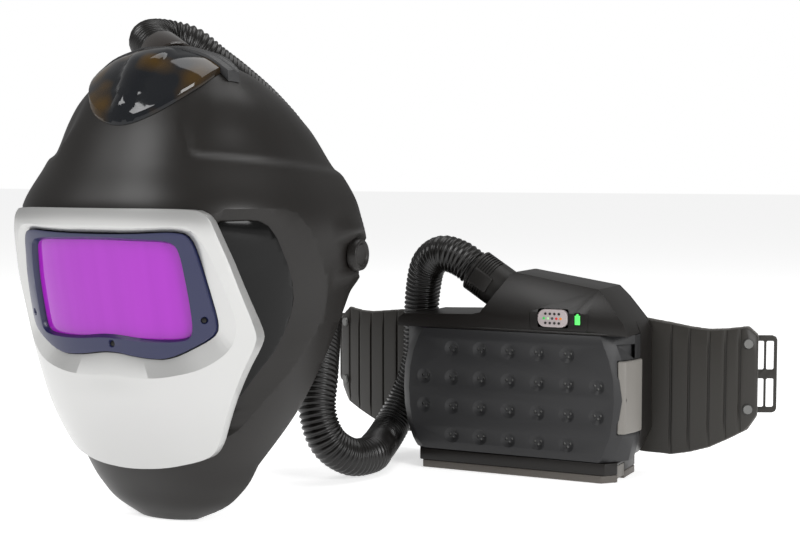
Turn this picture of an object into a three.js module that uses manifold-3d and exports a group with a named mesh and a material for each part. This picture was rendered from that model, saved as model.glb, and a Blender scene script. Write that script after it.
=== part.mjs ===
// Powered air respirator: a welding helmet with its head harness, a belt blower and the breathing tube between them.
// Millimetres, +Z up. Both units face -Y and stand on z = 0.
import * as THREE from 'three';
import { mergeVertices } from 'three/addons/utils/BufferGeometryUtils.js';
import Module from 'manifold-3d';

const wasm = await Module();
wasm.setup();

// ---- Driving dimensions ----

const GAP = 0.3; // clearance kept between any two pieces that touch
const HELMET_AT = [-132.2, -109.85];
const BLOWER_FROM_HELMET = [184, 257];

// Helmet shell: height, half width, front, widest place, back and squareness of each level.
const SHELL_LEVELS = [
  [0, 42, -51, -5, 60, 2.2],
  [10, 62, -60, 0, 70, 2.3],
  [25, 75, -69, 0, 80, 2.4],
  [50, 86, -84, 8, 100, 2.5],
  [90, 104, -101, 15, 130, 2.6],
  [126, 114, -109, 20, 150, 2.7],
  [165, 121, -116, 25, 170, 2.8],
  [205, 126, -124, 25, 170, 2.8],
  [247, 124, -129, 20, 150, 2.7],
  [280, 107, -113, 8, 115, 2.5],
  [310, 91, -98, -8, 80, 2.4],
  [335, 72, -82, -18, 52, 2.3],
  [350, 55, -70, -26, 28, 2.2],
  [360, 35, -57, -32, 0, 2.1],
  [365, 16, -44, -36, -22, 2],
];
const SHELL_WALL = 3;
const SHELL_SEGMENTS = 36;
// Rear edge of the shell seen from the side, from the chin up over the ear to the crown, as y and z.
const SHELL_REAR = [
  [-42, -1], [-34, 46], [-14, 84], [26, 158], [40, 186], [48, 205], [50, 232], [46, 268], [42, 300], [44, 330], [50, 348],
];
const FRONT_THICK = 5;
const BEZEL_THICK = 4;
const BEZEL_DEPTH = 4;
const WINDOW_W = 120;
const WINDOW_H = 70;
const FILTER_HOLE = [WINDOW_W + 17, WINDOW_H + 12];
const WINDOW_Z = 187.5;
const PLATE_THICK = 1.5;
const GLASS_THICK = 2.2;
const CASSETTE_DEPTH = 23;
const GLASS_Y = -102.5;
const GLASS_TILT = 10; // degrees, top leaning forward

const PIVOT_Y = 36;
const PIVOT_Z = 207;
const PIVOT_BOLT_R = 3.5;
const PIVOT_CAP_R = 14;
const PIVOT_CAP_H = 7;

const BAND_RX = 82;
const BAND_RY = 98;
const BAND_Y = 28;
const BAND_Z = 212;
const BAND_H = 24;
const BAND_WALL = 2.5;
const STRAP_TOP = 312;
const STRAP_W = 16;

const COLLAR_FROM = [3, -30, 356];
const COLLAR_TO = [-20, -15, 367];
const COLLAR_R = 19;

const HOSE_R = 17;

// Blower, measured from the middle of its own base.
const BLOWER_HALF_W = 110;
const BLOWER_FRONT = -35;
const BLOWER_BACK = 35;
const WALL = 2.5;
const SEAM_LOW = 18;
const SEAM_HIGH = 130;
const COVER_BACK = 2;
const SHELF_Z = 142;
const TOP_Z = 182;
const DIMPLE_PITCH_X = 27.6;
const DIMPLE_PITCH_Z = 26.6;
const DIMPLE_R = 7.5;
const FAN_AT = [54, 76];
const FAN_R = 40;

const BELT_Y = 38.9;
const BELT_THICK = 5;
const PAD_THICK = 4;
const BELT_BEND_R = 225;
const RIVET_R = 2.2;
const RIVET_SINK = 1.6; // depth of the rivet's tail in the end tab
const TAB_THICK = 2.5;
const SLOT = [7, 26]; // across and up, for the waist webbing
const SLOT_AT = [13, 21.8];
const CATCH_TRAVEL = 2;

// ---- Shape helpers ----

function solid(geometry) {
  const bare = geometry.index ? geometry.toNonIndexed() : geometry.clone();
  bare.deleteAttribute('normal');
  bare.deleteAttribute('uv');
  const merged = mergeVertices(bare, 1e-3);
  return new wasm.Manifold(new wasm.Mesh({
    numProp: 3,
    vertProperties: merged.attributes.position.array,
    triVerts: new Uint32Array(merged.index.array),
  }));
}

function geometryOf(shape) {
  const mesh = shape.getMesh();
  const geometry = new THREE.BufferGeometry();
  const points = new Float32Array(mesh.numVert * 3);
  for (let i = 0; i < mesh.numVert; i += 1) {
    for (let k = 0; k < 3; k += 1) points[3 * i + k] = mesh.vertProperties[i * mesh.numProp + k];
  }
  geometry.setAttribute('position', new THREE.BufferAttribute(points, 3));
  geometry.setIndex(new THREE.BufferAttribute(new Uint32Array(mesh.triVerts), 1));
  return geometry;
}

// Skin over rings of equal length, each anticlockwise seen from the far end, closed by a fan at both ends.
function loft(rings) {
  const count = rings[0].length;
  const points = rings.flat();
  const middle = (ring) => [0, 1, 2].map((k) => ring.reduce((sum, p) => sum + p[k], 0) / count);
  points.push(middle(rings[0]), middle(rings[rings.length - 1]));
  const faces = [];
  for (let i = 0; i + 1 < rings.length; i += 1) {
    for (let j = 0; j < count; j += 1) {
      const a = i * count + j;
      const b = i * count + ((j + 1) % count);
      faces.push(a, b, b + count, a, b + count, a + count);
    }
  }
  const last = (rings.length - 1) * count;
  for (let j = 0; j < count; j += 1) {
    const next = (j + 1) % count;
    faces.push(points.length - 2, next, j, points.length - 1, last + j, last + next);
  }
  const geometry = new THREE.BufferGeometry();
  geometry.setAttribute('position', new THREE.Float32BufferAttribute(points.flat(), 3));
  geometry.setIndex(faces);
  return solid(geometry);
}

function shapeOf(outline) {
  return new THREE.Shape(outline.map(([x, y]) => new THREE.Vector2(x, y)));
}

// An outline extruded along Z, X or Y. The outline is (x, y), (y, z) or (x, z).
function prismZ(outline, from, to) {
  const geometry = new THREE.ExtrudeGeometry(shapeOf(outline), { depth: to - from, bevelEnabled: false });
  geometry.translate(0, 0, from);
  return solid(geometry);
}

function prismX(outline, from, to) {
  const geometry = new THREE.ExtrudeGeometry(shapeOf(outline), { depth: to - from, bevelEnabled: false });
  geometry.translate(0, 0, from);
  geometry.applyMatrix4(new THREE.Matrix4().set(0, 0, 1, 0, 1, 0, 0, 0, 0, 1, 0, 0, 0, 0, 0, 1));
  return solid(geometry);
}

function prismY(outline, from, to) {
  const geometry = new THREE.ExtrudeGeometry(shapeOf(outline), { depth: to - from, bevelEnabled: false });
  geometry.rotateX(Math.PI / 2);
  geometry.translate(0, to, 0);
  return solid(geometry);
}

function box(x0, x1, y0, y1, z0, z1) {
  const geometry = new THREE.BoxGeometry(x1 - x0, y1 - y0, z1 - z0);
  geometry.translate((x0 + x1) / 2, (y0 + y1) / 2, (z0 + z1) / 2);
  return solid(geometry);
}

// A round bar between two points.
function bar(from, to, radius, segments = 20, endRadius = radius) {
  const a = new THREE.Vector3(...from);
  const b = new THREE.Vector3(...to);
  const way = b.clone().sub(a);
  const geometry = new THREE.CylinderGeometry(endRadius, radius, way.length(), segments);
  geometry.applyQuaternion(new THREE.Quaternion().setFromUnitVectors(new THREE.Vector3(0, 1, 0), way.normalize()));
  geometry.translate(...a.add(b).multiplyScalar(0.5).toArray());
  return solid(geometry);
}

function ring(from, to, outer, inner, segments = 20) {
  const a = new THREE.Vector3(...from);
  const b = new THREE.Vector3(...to);
  const past = b.clone().sub(a).normalize();
  const bore = bar(a.clone().sub(past).toArray(), b.clone().add(past).toArray(), inner, segments);
  return bar(from, to, outer, segments).subtract(bore);
}

function ellipse(rx, ry, cy = 0, count = 36, cx = 0) {
  return Array.from({ length: count }, (_, i) => {
    const turn = (2 * Math.PI * i) / count;
    return [cx + rx * Math.cos(turn), cy + ry * Math.sin(turn)];
  });
}

// A rounded rectangle round (cx, cy).
function roundedBox(width, height, radius, cx = 0, cy = 0, steps = 3) {
  const corners = [[1, 1, 0], [-1, 1, 90], [-1, -1, 180], [1, -1, 270]];
  return corners.flatMap(([sx, sy, start]) => Array.from({ length: steps + 1 }, (_, i) => {
    const turn = ((start + (90 * i) / steps) * Math.PI) / 180;
    return [
      cx + sx * (width / 2 - radius) + radius * Math.cos(turn),
      cy + sy * (height / 2 - radius) + radius * Math.sin(turn),
    ];
  }));
}

// An anticlockwise outline moved outwards by a distance, with mitred corners.
function offset(outline, by) {
  return outline.map(([x, y], i) => {
    const [px, py] = outline[(i + outline.length - 1) % outline.length];
    const [nx, ny] = outline[(i + 1) % outline.length];
    const before = Math.hypot(x - px, y - py);
    const after = Math.hypot(nx - x, ny - y);
    const out = [(y - py) / before + (ny - y) / after, (px - x) / before + (x - nx) / after];
    const scale = (2 * by) / (out[0] ** 2 + out[1] ** 2);
    return [x + out[0] * scale, y + out[1] * scale];
  });
}

const helmet = new THREE.Group();
helmet.position.set(HELMET_AT[0], HELMET_AT[1], 0);
const blower = new THREE.Group();
blower.position.set(HELMET_AT[0] + BLOWER_FROM_HELMET[0], HELMET_AT[1] + BLOWER_FROM_HELMET[1], 0);
const respirator = new THREE.Group();
respirator.add(helmet, blower);

function place(group, name, shape, color, roughness, metalness = 0) {
  const mesh = new THREE.Mesh(geometryOf(shape), new THREE.MeshStandardMaterial({ color, roughness, metalness }));
  mesh.name = name;
  group.add(mesh);
}

const BLACK = 0x23211f;
const DARK = 0x343436;

// ---- Helmet shell and what covers it ----

// One level of the helmet's outer form, grown outwards by an offset.
function shellRing([z, half, front, mid, back, squareness], offset, lift = 0) {
  return Array.from({ length: SHELL_SEGMENTS }, (_, i) => {
    const turn = (2 * Math.PI * i) / SHELL_SEGMENTS;
    const power = 2 / squareness;
    const reach = Math.sin(turn) < 0 ? mid - front : back - mid;
    const across = Math.sign(Math.cos(turn)) * Math.abs(Math.cos(turn)) ** power;
    const along = Math.sign(Math.sin(turn)) * Math.abs(Math.sin(turn)) ** power;
    return [(half + offset) * across, mid + (reach + offset) * along, z + lift];
  });
}

// The whole helmet form as a closed dome. It starts below the floor where it is used as a cut.
function dome(offset, bottom = 0) {
  const rings = SHELL_LEVELS.map((level, i) => shellRing(level, offset, offset * (i / (SHELL_LEVELS.length - 1)) ** 3));
  if (bottom < 0) rings.unshift(shellRing(SHELL_LEVELS[0], offset, bottom));
  return loft(rings);
}

const skin = dome(0);
const inside = dome(-SHELL_WALL, -10);
const overSkin = dome(GAP, -10);
const behind = prismX([...SHELL_REAR, [50, 500], [300, 500], [300, -30], [-42, -30]].reverse(), -200, 200);

const frontOutline = [
  [-78, 246], [-84, 243], [-103, 152], [-101, 142], [-85, 106], [-66, 62], [-56, 56], [-30, 49], [0, 47],
  [30, 49], [56, 56], [66, 62], [85, 106], [101, 142], [103, 152], [84, 243], [78, 246],
].reverse();
const bezelOutline = [
  [-69, 230], [-75, 224], [-83, 161], [-79, 151], [-50, 136], [-28, 136], [0, 139.5], [28, 136], [50, 136],
  [79, 151], [83, 161], [75, 224], [69, 230], [0, 227.5],
];
const windowOutline = roundedBox(WINDOW_W, WINDOW_H, 9, 0, WINDOW_Z);
const sideOutline = [[-97, 232], [-66, 149], [-80, 108], [-70, 74], [-36, 167], [-77, 233]];

const pivotX = 125;
const pivotBore = bar([-200, PIVOT_Y, PIVOT_Z], [200, PIVOT_Y, PIVOT_Z], PIVOT_BOLT_R + 0.7, 14);
const collarWay = COLLAR_TO.map((value, k) => value - COLLAR_FROM[k]);
const collarCut = bar(COLLAR_FROM, COLLAR_FROM.map((value, k) => value + 1.7 * collarWay[k]), COLLAR_R + GAP, 24);
const filterHole = prismY(roundedBox(...FILTER_HOLE, 6, 0, WINDOW_Z), -200, 0);

const shell = skin.subtract(inside).subtract(behind).subtract(filterHole)
  .subtract(prismX(offset(sideOutline, GAP), -200, 200)).subtract(pivotBore).subtract(collarCut);
place(helmet, 'helmet_shell', shell, BLACK, 0.45);

const overFront = dome(FRONT_THICK, -10);
const frontArea = prismY(frontOutline, -220, -20);
const bezelRoom = prismY(offset(bezelOutline, 1), -220, 0);
const besideWindow = prismX(offset(sideOutline, 1), -200, 200);
place(helmet, 'front_cover', overFront.subtract(overSkin).intersect(frontArea).subtract(bezelRoom)
  .subtract(behind).subtract(besideWindow), 0xd8d8d6, 0.32, 0.6);

const overBezel = dome(BEZEL_THICK, -10);
const flange = overBezel.subtract(dome(-BEZEL_DEPTH, -10)).intersect(prismY(roundedBox(FILTER_HOLE[0] - 2 * GAP, FILTER_HOLE[1] - 2 * GAP, 6, 0, WINDOW_Z), -220, -20));
place(helmet, 'filter_bezel', overBezel.subtract(overSkin).intersect(prismY(bezelOutline, -220, -20)).add(flange)
  .subtract(prismY(windowOutline, -220, 0)), 0x2c3060, 0.3);

// The filter hangs in its own frame, turned so that its top leans forward.
const filter = new THREE.Group();
filter.position.set(0, GLASS_Y, WINDOW_Z);
filter.rotation.x = (GLASS_TILT * Math.PI) / 180;
helmet.add(filter);
const glassFront = PLATE_THICK + GAP;
const glassBack = glassFront + GLASS_THICK;
const cassetteBack = glassBack + GAP + CASSETTE_DEPTH;
const pane = (w, h, from, to) => prismY(roundedBox(w, h, 5), from, to);
place(filter, 'outer_plate', pane(WINDOW_W + 4, WINDOW_H + 4, 0, PLATE_THICK), 0xeef4f8, 0.05);
place(filter, 'filter_glass', pane(WINDOW_W + 3, WINDOW_H + 3, glassFront, glassBack), 0xb432cd, 0.05);
place(filter, 'filter_cassette', pane(WINDOW_W + 12, WINDOW_H + 7, glassBack + GAP, cassetteBack)
  .subtract(pane(WINDOW_W - 10, WINDOW_H - 14, glassBack - 1, cassetteBack + 1)), 0x26282c, 0.5);
place(filter, 'inner_plate', pane(WINDOW_W - 3, WINDOW_H - 8, cassetteBack + GAP, cassetteBack + GAP + PLATE_THICK), 0xeef4f8, 0.05);

const windowBand = dome(-0.6, -10).subtract(dome(-2.6, -10))
  .intersect(prismX(sideOutline, -200, 200));
place(helmet, 'side_window_left', windowBand.intersect(box(-200, -20, -200, 100, 0, 400)), 0x0a0a0c, 0.08);
place(helmet, 'side_window_right', windowBand.intersect(box(20, 200, -200, 100, 0, 400)), 0x0a0a0c, 0.08);

const DUCT_REAR = -46;
const ductArea = prismZ(ellipse(55, 54, DUCT_REAR, 32), 250, 420).intersect(box(-100, 100, -140, DUCT_REAR, 200, 420));
place(helmet, 'air_duct', dome(3.5, -10).subtract(overSkin).intersect(ductArea).subtract(collarCut), 0x14161a, 0.12);
const lipArea = box(-54, 54, DUCT_REAR + GAP, -24, 280, 420);
place(helmet, 'crown_lip', dome(5, -10).subtract(overSkin).intersect(lipArea).subtract(collarCut), 0x2e2e30, 0.5);
place(helmet, 'hose_collar', ring(COLLAR_FROM, COLLAR_TO, COLLAR_R, COLLAR_R - 3, 24), 0x181614, 0.15);

const sealLine = SHELL_REAR.slice(0, 6);
const sealArea = prismX([...sealLine, ...sealLine.map(([y, z]) => [y - 26, z + 8]).reverse()], -200, 200);
place(helmet, 'face_seal', dome(-SHELL_WALL - 1, -10).subtract(dome(-SHELL_WALL - 3.5, -12))
  .intersect(sealArea).intersect(box(-200, 200, -200, 200, 8, 190)), 0x1c1c1e, 0.95);

// ---- Harness ----

const outerRing = prismZ(ellipse(BAND_RX, BAND_RY, BAND_Y), BAND_Z, BAND_Z + BAND_H);
const innerRing = prismZ(ellipse(BAND_RX - BAND_WALL, BAND_RY - BAND_WALL, BAND_Y), BAND_Z - 1, BAND_Z + BAND_H + 1);
const ear = (side) => prismX(roundedBox(30, 36, 8, PIVOT_Y, PIVOT_Z + 4), side > 0 ? 79 : -84, side > 0 ? 84 : -79);
const band = outerRing.add(ear(1)).add(ear(-1)).subtract(innerRing)
  .subtract(prismZ(ellipse(BAND_RX - BAND_WALL, BAND_RY - BAND_WALL, BAND_Y), 100, 300)).subtract(pivotBore);
place(helmet, 'headband', band, 0x2a2a2c, 0.6);

function strap(y, top) {
  const half = BAND_RX * Math.sqrt(1 - ((y - BAND_Y) / BAND_RY) ** 2) - 1;
  const low = BAND_Z + BAND_H + GAP;
  const arc = (inset) => Array.from({ length: 15 }, (_, i) => {
    const turn = (Math.PI * i) / 14;
    return [(half - inset) * Math.cos(turn), low + (top - low - inset) * Math.sin(turn)];
  });
  return prismY([...arc(0), ...arc(2).reverse()], y - STRAP_W / 2, y + STRAP_W / 2);
}
place(helmet, 'crown_strap_front', strap(-8, STRAP_TOP - 4), 0x2a2a2c, 0.6);
place(helmet, 'crown_strap_rear', strap(52, STRAP_TOP), 0x2a2a2c, 0.6);

const padRing = (inset) => prismZ(ellipse(BAND_RX - inset, BAND_RY - inset, BAND_Y), BAND_Z - 3, BAND_Z + BAND_H + 3);
place(helmet, 'sweatband', padRing(BAND_WALL + GAP).subtract(padRing(BAND_WALL + 6).add(box(-200, 200, -10, 200, 0, 400)))
  .intersect(box(-200, 200, -200, -10.5, 0, 400)), 0x17181c, 0.95);

const bandRear = BAND_Y + BAND_RY;
const knobZ = BAND_Z + BAND_H / 2;
const ratchetBlock = prismZ(roundedBox(58, 18, 6, 0, bandRear + 6), BAND_Z - 2, BAND_Z + BAND_H + 2)
  .subtract(prismZ(ellipse(BAND_RX + GAP, BAND_RY + GAP, BAND_Y, 72), 100, 300));
place(helmet, 'ratchet_housing', ratchetBlock, 0x242426, 0.55);
const knobFrom = bandRear + 15 + GAP;
const knobOutline = Array.from({ length: 36 }, (_, i) => {
  const turn = (2 * Math.PI * i) / 36;
  const reach = 16 + (i % 3 === 0 ? 1.2 : 0);
  return [reach * Math.cos(turn), knobZ + reach * Math.sin(turn)];
});
place(helmet, 'ratchet_knob', prismY(knobOutline, knobFrom, knobFrom + 12), 0x1e1e20, 0.6);

for (const [side, name] of [[-1, 'left'], [1, 'right']]) {
  const at = (x) => [side * x, PIVOT_Y, PIVOT_Z];
  const capFrom = pivotX + 2;
  place(helmet, `pivot_bolt_${name}`, bar(at(75), at(capFrom + 4), PIVOT_BOLT_R, 12).add(bar(at(71.5), at(75), 7, 14)), 0x9a9a98, 0.35, 1);
  place(helmet, `pivot_spacer_${name}`, ring(at(84 + GAP), at(pivotX - 5), 9, PIVOT_BOLT_R + GAP + 0.2, 18), 0x303032, 0.6);
  const cap = bar(at(capFrom), at(capFrom + PIVOT_CAP_H), PIVOT_CAP_R, 24, PIVOT_CAP_R - 2)
    .subtract(bar(at(capFrom - 1), at(capFrom + 4 + GAP), PIVOT_BOLT_R + GAP, 14));
  place(helmet, `pivot_cap_${name}`, cap, 0x262624, 0.5);
}

const FLAP_Y = -66;
const FLAP_Z = 292;
place(helmet, 'airflow_deflector', box(-38, 38, FLAP_Y - 24, FLAP_Y, FLAP_Z - 1, FLAP_Z + 1)
  .add(bar([-42, FLAP_Y, FLAP_Z], [42, FLAP_Y, FLAP_Z], 2.5, 12)), 0x3a3a3e, 0.5);

// ---- Blower ----

const plan = (inset) => [
  [-94 + inset, BLOWER_FRONT + inset], [97 - inset, BLOWER_FRONT + inset], [105 - inset, BLOWER_FRONT + 8 + inset * 0.6],
  [109.5 - inset, BLOWER_FRONT + 24], [BLOWER_HALF_W + 1 - inset, 2], [BLOWER_HALF_W + 1 - inset, BLOWER_BACK - inset],
  [-93 + inset, BLOWER_BACK - inset], [-93 + inset, 3], [-BLOWER_HALF_W + inset, 2],
  [-BLOWER_HALF_W + inset, BLOWER_FRONT + 24], [-103 + inset, BLOWER_FRONT + 8 + inset * 0.6],
];
// Seen from the front the lower corners draw in.
const frontView = (inset) => [
  [-110 + inset, 40], [-100 + inset, 8 + inset], [104 - inset, 8 + inset], [111 - inset, 40], [112 - inset, 240], [-111 + inset, 240],
];
const topProfile = (inset) => [
  [-110 + inset, SEAM_HIGH + GAP], [110 - inset, SEAM_HIGH + GAP], [106 - inset, 141], [90 - inset, 160 - inset],
  [80 - inset, 169.5 - inset], [-2 + inset, TOP_Z - inset], [-6 + inset * 0.5, TOP_Z - 3 - inset],
  [-28 + inset * 0.6, 146 - inset], [-36, SHELF_Z + 2 - inset], [-104 + inset, SHELF_Z - inset], [-110 + inset, SHELF_Z - 4],
];

const coverPlan = (inset) => plan(inset).filter(([x, y]) => y < BLOWER_BACK - 10 && !(x < -80 && y > COVER_BACK));
const trayOuter = prismZ(coverPlan(0), SEAM_LOW + GAP, SEAM_HIGH - GAP).intersect(box(-200, 200, -60, COVER_BACK, 0, 300))
  .intersect(prismY(frontView(0), -80, 80));
const trayInner = prismZ(coverPlan(WALL), SEAM_LOW + WALL, SEAM_HIGH - WALL).intersect(prismY(frontView(WALL), -80, 80))
  .add(box(-106, 107, -6, COVER_BACK + 5, SEAM_LOW + WALL, SEAM_HIGH - WALL).intersect(prismY(frontView(WALL), -80, 80)));
const coverMidZ = (SEAM_LOW + SEAM_HIGH) / 2 - 2;
const dimples = [];
[[1.5, 2], [0.5, 3], [-0.5, 3], [-1.5, 2]].forEach(([row, reach]) => {
  for (let column = -reach; column <= reach; column += 1) {
    dimples.push([column * DIMPLE_PITCH_X, coverMidZ + row * DIMPLE_PITCH_Z]);
  }
});
let cover = trayOuter.subtract(trayInner);
for (const [x, z] of dimples) {
  cover = cover.subtract(bar([x, BLOWER_FRONT - 1, z], [x, BLOWER_FRONT + 1.6, z], DIMPLE_R, 8, DIMPLE_R * 0.6));
}
const LATCH_Z0 = 44;
const LATCH_Z1 = 108;
const latchRoom = box(103, 130, -10, 8, LATCH_Z0 - 0.6, LATCH_Z1 + 0.6);
const HINGE_X = -104;
const HINGE_Y = -3;
cover = cover.subtract(latchRoom).subtract(bar([HINGE_X, HINGE_Y, 0], [HINGE_X, HINGE_Y, 200], 2.3, 12));
place(blower, 'filter_cover', cover, DARK, 0.5);
place(blower, 'hinge_pin', bar([HINGE_X, HINGE_Y, SEAM_LOW + 2], [HINGE_X, HINGE_Y, SEAM_HIGH - 1], 1.8, 10), 0xa0a09c, 0.3, 1);
place(blower, 'cover_latch', prismZ([[103.6, -9.4], [107, -9.4], [112, -4], [114, 1.4], [106, 1.4]], LATCH_Z0, LATCH_Z1), 0x827f7a, 0.45);

const rearOutline = [[-93, SEAM_LOW + GAP], [100, SEAM_LOW + GAP], [111, 40], [110.5, SEAM_HIGH + 1], [106, 141], [90, 160],
  [80, 169.5], [-2, TOP_Z], [-6, TOP_Z - 3], [-28, 146], [-36, SHELF_Z + 2], [-93, SHELF_Z]];
const BAY_FRONT = COVER_BACK + GAP;
const inset = (outline, by, cx, cy) => outline.map(([x, z]) => [x - Math.sign(x - cx) * by, z - Math.sign(z - cy) * by]);
const rearBody = prismY(rearOutline, BAY_FRONT, BLOWER_BACK);
const upper = prismY(topProfile(0), BLOWER_FRONT + 1, BLOWER_BACK).subtract(box(-200, -93, 2, 60, 0, 300))
  .subtract(prismX([[-60, SHELF_Z + 6], [-34, SHELF_Z + 6], [-14, TOP_Z + 4], [-14, 240], [-60, 240]].reverse(), -200, 200));
const hollow = prismY(inset(rearOutline, 3, 8, 90), BAY_FRONT + WALL, BLOWER_BACK + 5)
  .add(prismY(topProfile(3.2).map(([x, z]) => [x, Math.max(z, SEAM_HIGH + 3)]), BLOWER_FRONT + 4.5, BLOWER_BACK + 5)
    .subtract(prismX([[-60, SHELF_Z + 3], [-31, SHELF_Z + 3], [-11, TOP_Z + 1], [-11, 240], [-60, 240]].reverse(), -200, 200))
    .subtract(box(-200, -90, -2, 60, 0, 300)));
const port = box(-70, 88, BAY_FRONT - 1, BAY_FRONT + WALL + 1, 40, 112);

const CUFF_FROM = [-17, 0, 163];
const CUFF_WAY = [-0.841, 0, 0.541];
const along = (from, way, far) => from.map((value, k) => value + way[k] * far);
const CUFF_LENGTH = 34;
const CUFF_R = 20.5;
const cuffSeat = bar(along(CUFF_FROM, CUFF_WAY, -30), along(CUFF_FROM, CUFF_WAY, 60), CUFF_R + GAP, 24);
const spigotBore = bar(along(CUFF_FROM, CUFF_WAY, -30), along(CUFF_FROM, CUFF_WAY, 10), 15, 20);
const BUTTON = [41.5, 143.5, 28, 16];
const LAMP = [64.5, 143.5, 6, 11];
const hole = ([x, z, w, h], clear) => prismY(roundedBox(w + clear, h + clear, 2, x, z, 2), -60, 0);
const housing = rearBody.add(upper).subtract(hollow).subtract(port)
  .subtract(cuffSeat.intersect(bar(along(CUFF_FROM, CUFF_WAY, -1), along(CUFF_FROM, CUFF_WAY, 60), 40, 24)))
  .subtract(spigotBore).subtract(hole(BUTTON, 0.8)).subtract(hole(LAMP, 0.6));
place(blower, 'blower_housing', housing, 0x201c19, 0.42);
place(blower, 'rear_plate', prismY(rearOutline, BLOWER_BACK + GAP, BELT_Y - GAP), 0x262422, 0.55);

const buttonAt = (spec, from, to) => prismY(roundedBox(spec[2], spec[3], 2, spec[0], spec[1], 2), from, to);
place(blower, 'power_button', buttonAt(BUTTON, BLOWER_FRONT - 0.6, BLOWER_FRONT + 7), 0xafa5a5, 0.5);
place(blower, 'battery_lamp', buttonAt(LAMP, BLOWER_FRONT + 0.6, BLOWER_FRONT + 5), 0x5ae664, 0.3);

const cuff = ring(CUFF_FROM, along(CUFF_FROM, CUFF_WAY, CUFF_LENGTH), CUFF_R, 14, 24);
place(blower, 'hose_cuff', cuff, 0x222120, 0.5);

// Filters, fan and electronics, from the front to the back.
const slab = (w, h, from, to, cx = 2, cz = 74) => prismY(roundedBox(w, h, 4, cx, cz, 2), from, to);
place(blower, 'spark_arrestor', slab(176, 98, -31.5, -30.3), 0x8e9194, 0.4, 0.9);
place(blower, 'prefilter', slab(176, 98, -30, -27), 0xd8d6cc, 0.95);
place(blower, 'particle_filter', slab(176, 98, -26, -1.5), 0xe6e4dc, 0.9);
place(blower, 'filter_gasket', slab(170, 92, -1.2, BAY_FRONT - GAP).subtract(slab(160, 82, -5, 5)), 0x2b2b2b, 0.9);
const [fanX, fanZ] = FAN_AT;
const fanLine = (from, to, radius, segments = 24) => bar([fanX, from, fanZ], [fanX, to, fanZ], radius, segments);
const fanDuct = prismY([[20, 100], [-12, 156], [4, 166], [62, 100]].reverse(), 9, 29);
const fanDuctBore = prismY([[26, 90], [-12, 150.5], [2, 163], [56, 90]].reverse(), 11, 27)
  .add(prismY([[-10, 140], [-22, 160], [6, 176], [10, 150]].reverse(), 11, 27));
const scroll = fanLine(9, 29, FAN_R).add(fanDuct).subtract(fanLine(11, 27, FAN_R - 2)).subtract(fanDuctBore)
  .subtract(fanLine(5, 15, 20)).subtract(fanLine(20, 35, 5, 12));
place(blower, 'fan_scroll', scroll, 0x35353a, 0.5);
let impeller = fanLine(22, 24.5, 33).add(fanLine(13, 22.5, 9, 16));
for (let i = 0; i < 9; i += 1) {
  const blade = new THREE.BoxGeometry(22, 10, 1.6);
  blade.translate(21, 17.5, 0);
  blade.rotateY((i * 2 * Math.PI) / 9);
  blade.translate(fanX, 0, fanZ);
  impeller = impeller.add(solid(blade));
}
impeller = impeller.subtract(fanLine(18, 30, 2.4, 10));
place(blower, 'impeller', impeller, 0x54565a, 0.5);
place(blower, 'fan_motor', fanLine(29 + GAP, 34.6, 15).add(fanLine(20, 30, 2, 10)), 0xb8b8b6, 0.35, 1);
place(blower, 'circuit_board', box(-82, 8, 22, 23.6, 30, 118), 0x1d5a34, 0.6);
place(blower, 'battery_contacts', box(-50, -26, 12, 20, 22, 30), 0xc09040, 0.3, 1);

// Battery, its base strip and its catch.
const batteryPlan = (grown) => [
  [-88 - grown, -33], [90 + grown, -33], [98, -22], [98, 30], [-90 - grown, 30], [-94 - grown, -20],
];
const CATCH = [88, 104, -20, -2, 3, 14.5];
const catchRoom = box(CATCH[0] - GAP - CATCH_TRAVEL, CATCH[1] + 5, CATCH[2] - GAP, CATCH[3] + GAP, -1, CATCH[5] + GAP);
place(blower, 'battery_pack', prismZ(batteryPlan(0), 7, SEAM_LOW - GAP).subtract(catchRoom), 0x2a2a2a, 0.5);
place(blower, 'battery_strip', prismZ(batteryPlan(-3), 0, 7 - GAP).subtract(catchRoom), 0x5a5550, 0.55);
place(blower, 'battery_catch', box(CATCH[0], CATCH[1] - 6, CATCH[2], CATCH[3], CATCH[4], CATCH[5]), 0x6a6660, 0.5);

// ---- Waist belt ----

// Stations along a wing: distance from the middle, bottom and top.
const RIGHT_WING = [[62, 26, 130], [100, 18, 139], [127, 17, 135], [143, 20, 132], [160, 25, 130], [176, 33, 131], [192, 42, 133], [200, 55, 125]];
const LEFT_WING = [[62, 26, 130], [112, 18, 138], [150, 17, 135], [167, 20, 133], [184, 25, 131], [201, 31, 131], [219, 38, 133], [228, 52, 125]];
const bend = (x) => Math.max(0, Math.abs(x) - 100) ** 2 / (2 * BELT_BEND_R);

function wing(side, stations, near, thick, grown) {
  const rings = stations.map(([far, low, high]) => {
    const y = BELT_Y + bend(far) + near;
    const corners = [[y, low - grown], [y + thick, low - grown], [y + thick, high + grown], [y, high + grown]];
    return corners.map(([py, pz]) => [side * far, py, pz]);
  });
  return loft(side > 0 ? rings : rings.map((one) => [...one].reverse()));
}

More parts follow.
